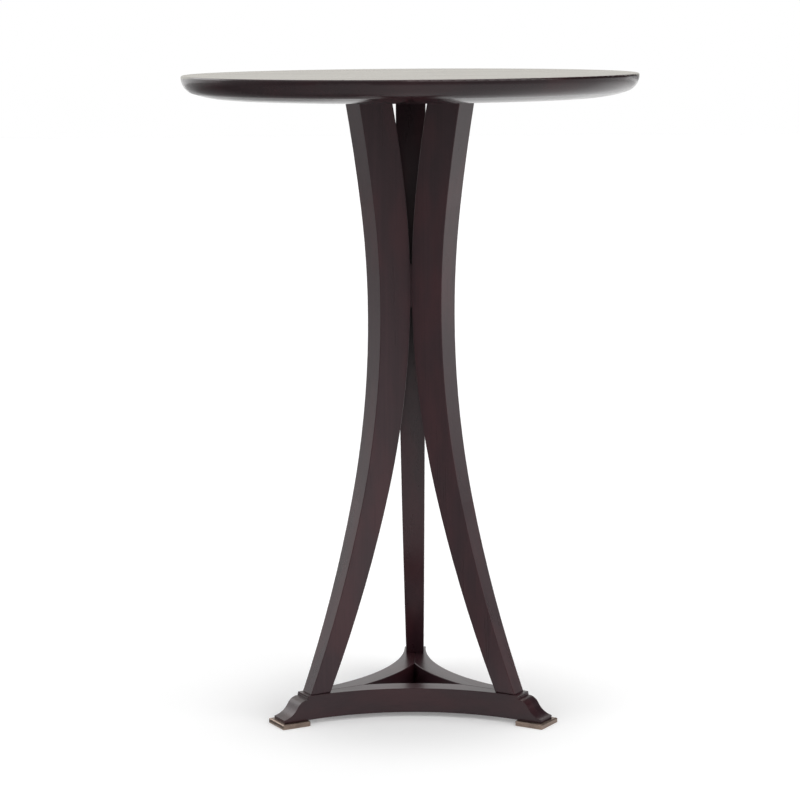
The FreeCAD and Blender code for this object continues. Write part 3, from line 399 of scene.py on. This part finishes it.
def dress_table():
    """Gives every node its material, and the screws that show their cross recesses."""
    level, upright = (0, 0, 0), (0, math.radians(90), 0)
    # The table top gets painted light on its open face and painted shade on its rim
    dress("table_top", make_wood("wood_top", level, (0.3, 0.1, 0.7), TOP_FINISH, TOP_PAINTED_LIT_FACE))
    for i, place in enumerate(("rear", "left", "right")):
        shift = (0.4 * i, 1.3 * i, 0.2)
        dress(f"leg_{place}", make_wood(f"wood_leg_{place}", upright, shift, LEG_FINISH))
        dress(f"foot_plate_{place}", make_bronze(f"bronze_{place}", (0.2 * i, 0.1, 0)))
    for i, place in enumerate(("front", "left", "right")):
        along = (0, 0, math.radians(120 * i))
        shift = (0.7 * i, 0.4, 0.9 * i)
        dress(f"rail_{place}", make_wood(f"wood_rail_{place}", along, shift, RAIL_FINISH))
    dress("waist_block", make_wood("wood_block", upright, (2, 1, 0), BLOCK_FINISH))
    dress("mounting_plate", make_black_steel("black_steel"))
    steel = make_screw_steel("screw_steel")
    dress("leg_head_screws", steel)
    for name in ("mount_screws", "leg_foot_screws", "foot_plate_screws"):
        cut_drives(name, steel)
    beech = make_plain_wood("beech")
    for name in ("waist_dowels", "mitre_tenon_rear", "mitre_tenon_left", "mitre_tenon_right"):
        dress(name, beech)


# Objects

def add_object(name, data):
    """A new object in the scene."""
    piece = bpy.data.objects.new(name, data)
    bpy.context.scene.collection.objects.link(piece)
    return piece


def add_working_mesh(name, working):
    """A new object in the scene from a working mesh, which is used up."""
    mesh = bpy.data.meshes.new(name)
    working.to_mesh(mesh)
    working.free()
    return add_object(name, mesh)


# Screw heads

def islands(mesh):
    """Lists the corners of each separate solid in a mesh, in the mesh's own order."""
    seen = set()
    for start in mesh.verts:
        if start in seen:
            continue
        seen.add(start)
        island, front = [], [start]
        while front:
            vert = front.pop()
            island.append(vert)
            near = [edge.other_vert(vert) for edge in vert.link_edges]
            front.extend(other for other in near if other not in seen)
            seen.update(near)
        yield island


def add_cross(mesh, centre, radius):
    """A cross-shaped tapered cutter, from just under a head's face up into it."""
    arm, half = DRIVE_ARM * radius, DRIVE_HALF_WIDTH * radius
    quarter = ((arm, half), (half, half), (half, arm))
    turns = [Matrix.Rotation(math.radians(90 * k), 2) for k in range(4)]
    outline = [turn @ Vector(corner) for turn in turns for corner in quarter]
    rings = []
    for scale, rise in ((1, -DRIVE_CLEARANCE), (DRIVE_TAPER, DRIVE_DEPTH)):
        z = centre.z + rise * radius
        rings.append([mesh.verts.new((centre.x + scale * p.x, centre.y + scale * p.y, z)) for p in outline])
    mouth, floor = rings
    count = len(outline)
    for i in range(count):
        j = (i + 1) % count
        mesh.faces.new((mouth[i], mouth[j], floor[j], floor[i]))
    for ring in rings:
        mesh.faces.new(ring)


def cut_drives(name, material):
    """Replaces a node of screws, heads down, by the same screws with a cross recess in each head."""
    screws = bmesh.new()
    screws.from_mesh(nodes[name].data)
    bmesh.ops.remove_doubles(screws, verts=screws.verts, dist=WELD_DISTANCE)
    crosses = bmesh.new()
    for island in islands(screws):
        low = min(vert.co.z for vert in island)
        rim = [vert.co for vert in island if vert.co.z < low + HEAD_FACE_BAND]
        centre = sum(rim, Vector()) / len(rim)
        add_cross(crosses, centre, max((corner - centre).length for corner in rim))
    bmesh.ops.recalc_face_normals(crosses, faces=crosses.faces)
    piece = add_working_mesh(f"{name}_cross", screws)
    cutter = add_working_mesh(f"{name}_cutter", crosses)
    cut = piece.modifiers.new("drive", "BOOLEAN")
    cut.object = cutter
    cut.operation = "DIFFERENCE"
    cut.solver = "EXACT"
    graph = bpy.context.evaluated_depsgraph_get()
    solid = bpy.data.meshes.new_from_object(piece.evaluated_get(graph))
    piece.modifiers.clear()
    piece.data = solid
    bpy.data.objects.remove(cutter)
    solid.materials.clear()
    solid.materials.append(material)
    solid.polygons.foreach_set("use_smooth", [True] * len(solid.polygons))
    solid.set_sharp_from_angle(angle=math.radians(SHARP_ANGLE))
    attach(piece, "root")
    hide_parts(name)


# Studio

def add_camera():
    """The camera of the photograph."""
    data = bpy.data.cameras.new("camera")
    data.sensor_width = CAMERA_SENSOR
    data.lens = CAMERA_LENS
    camera = add_object("camera", data)
    round_axis = math.radians(CAMERA_ROUND)
    turn = Matrix.Rotation(math.radians(CAMERA_ROUND + CAMERA_YAW), 4, "Z")
    tilt = Matrix.Rotation(math.radians(90 - CAMERA_PITCH), 4, "X")
    roll = Matrix.Rotation(math.radians(CAMERA_ROLL), 4, "Z")
    place = Vector((math.sin(round_axis), -math.cos(round_axis), 0)) * CAMERA_DISTANCE
    place.z = CAMERA_HEIGHT
    camera.matrix_world = Matrix.Translation(place) @ turn @ tilt @ roll
    bpy.context.scene.camera = camera


def add_stage_mesh(name, corners, faces, material):
    """A stage object from its corners and faces."""
    mesh = bpy.data.meshes.new(name)
    mesh.from_pydata(corners, [], faces)
    mesh.materials.append(material)
    piece = add_object(name, mesh)
    piece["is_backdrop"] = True
    return piece


def mirrored_rays(tree, path):
    """One for rays that are mirrored or pass through glass."""
    return combine(tree, "MAXIMUM", path["Is Glossy Ray"], path["Is Transmission Ray"])


def add_floor():
    """A wide white floor that keeps the table's shadow, with a painted shadow added round the table's foot,
    and is clear from below.
    """
    material, tree, output = new_material("floor_white")
    place = object_place(tree)
    tone = remap(tree, noise(tree, place, scale=3, detail=2), 0.3, 0.7, *FLOOR_PAPER)
    grey = add_node(tree, "ShaderNodeCombineColor", {"Red": tone, "Green": tone, "Blue": tone})
    paper = add_node(tree, "ShaderNodeBsdfDiffuse", {"Color": grey.outputs["Color"], "Roughness": 0.5})
    away = add_node(tree, "ShaderNodeVectorMath", {0: place}, operation="LENGTH").outputs["Value"]
    path = add_node(tree, "ShaderNodeLightPath").outputs
    # Painted shadow: the camera sees less glow near the table than farther out
    seen = times(tree, path["Is Camera Ray"], remap(tree, away, *PAINTED_SHADOW_RADII, *PAINTED_SHADOW_GLOW))
    mirrored = times(tree, mirrored_rays(tree, path), GLOW_MIRRORED)
    lift = combine(tree, "ADD", seen, mirrored)
    glow = add_node(tree, "ShaderNodeEmission", {"Color": WHITE, "Strength": lift})
    both = add_node(tree, "ShaderNodeAddShader", {0: paper.outputs["BSDF"], 1: glow.outputs["Emission"]})
    below = add_node(tree, "ShaderNodeNewGeometry").outputs["Backfacing"]
    clear = add_node(tree, "ShaderNodeBsdfTransparent").outputs["BSDF"]
    sheet = add_node(tree, "ShaderNodeMixShader", {0: below, 1: both.outputs["Shader"], 2: clear})
    tree.links.new(sheet.outputs["Shader"], output.inputs["Surface"])
    signs = ((-1, -1), (1, -1), (1, 1), (-1, 1))
    corners = [(x * FLOOR_REACH, y * FLOOR_REACH, FLOOR_HEIGHT) for x, y in signs]
    add_stage_mesh("floor", corners, [(0, 1, 2, 3)], material)


def make_card(name, colour):
    """Card that shines by its own level at each corner."""
    material, tree, output = new_material(name)
    level = add_node(tree, "ShaderNodeAttribute", attribute_name="level").outputs["Fac"]
    glow = add_node(tree, "ShaderNodeEmission", {"Color": colour, "Strength": level})
    tree.links.new(glow.outputs["Emission"], output.inputs["Surface"])
    return material


def levels_at(columns, azimuth):
    """Brightness of each ring at an azimuth, between the columns on either side."""
    for (first, low), (last, high) in zip(columns, columns[1:]):
        if first <= azimuth <= last:
            share = (azimuth - first) / (last - first)
            return [a + (b - a) * share for a, b in zip(low, high)]


def add_cards():
    """Dark and bright sides of the studio, seen only in reflections."""
    for name, colour, rings, columns in CARDS:
        corners, levels = [], []
        for azimuth in range(columns[0][0], columns[-1][0] + 1, CARD_STEP):
            angle = math.radians(azimuth)
            corners += [(r * math.cos(angle), r * math.sin(angle), z) for r, z in rings]
            levels += levels_at(columns, azimuth)
        wide = len(rings)
        starts = [i for i in range(len(corners) - wide) if i % wide < wide - 1]
        faces = [(i, i + 1, i + wide + 1, i + wide) for i in starts]
        card = add_stage_mesh(name, corners, faces, make_card(name, colour))
        card.data.attributes.new("level", "FLOAT", "POINT").data.foreach_set("value", levels)
        card.visible_camera = False
        card.visible_diffuse = False
        card.visible_shadow = False


def add_light():
    """A white world and wide soft lamps at both sides and overhead."""
    world = bpy.data.worlds.new("studio")
    world.use_nodes = True
    tree = world.node_tree
    tree.nodes.clear()
    path = add_node(tree, "ShaderNodeLightPath").outputs
    shown = combine(tree, "MAXIMUM", path["Is Camera Ray"], mirrored_rays(tree, path))
    level = remap(tree, shown, 0, 1, WORLD_LIGHT, WORLD_SHOWN)
    sky = add_node(tree, "ShaderNodeBackground", {"Color": WHITE, "Strength": level})
    output = add_node(tree, "ShaderNodeOutputWorld")
    tree.links.new(sky.outputs["Background"], output.inputs["Surface"])
    bpy.context.scene.world = world
    for name, azimuth, elevation, spread, energy in LAMPS:
        light = bpy.data.lights.new(name, "SUN")
        light.energy = energy
        light.angle = math.radians(spread)
        lamp = add_object(name, light)
        tilt = Matrix.Rotation(math.radians(90 - elevation), 4, "Y")
        lamp.matrix_world = Matrix.Rotation(math.radians(azimuth), 4, "Z") @ tilt
        lamp.visible_glossy = False


def write_sizes():
    """Gathers the corners of the CAD box and of the dressed box as lists."""
    boxes = {"cad": cad_box, "visual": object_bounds()}
    lists = {name: [list(corner) for corner in box] for name, box in boxes.items()}


dress_table()
add_camera()
add_floor()
add_cards()
add_light()
bpy.context.scene.view_settings.view_transform = "Standard"
write_sizes()
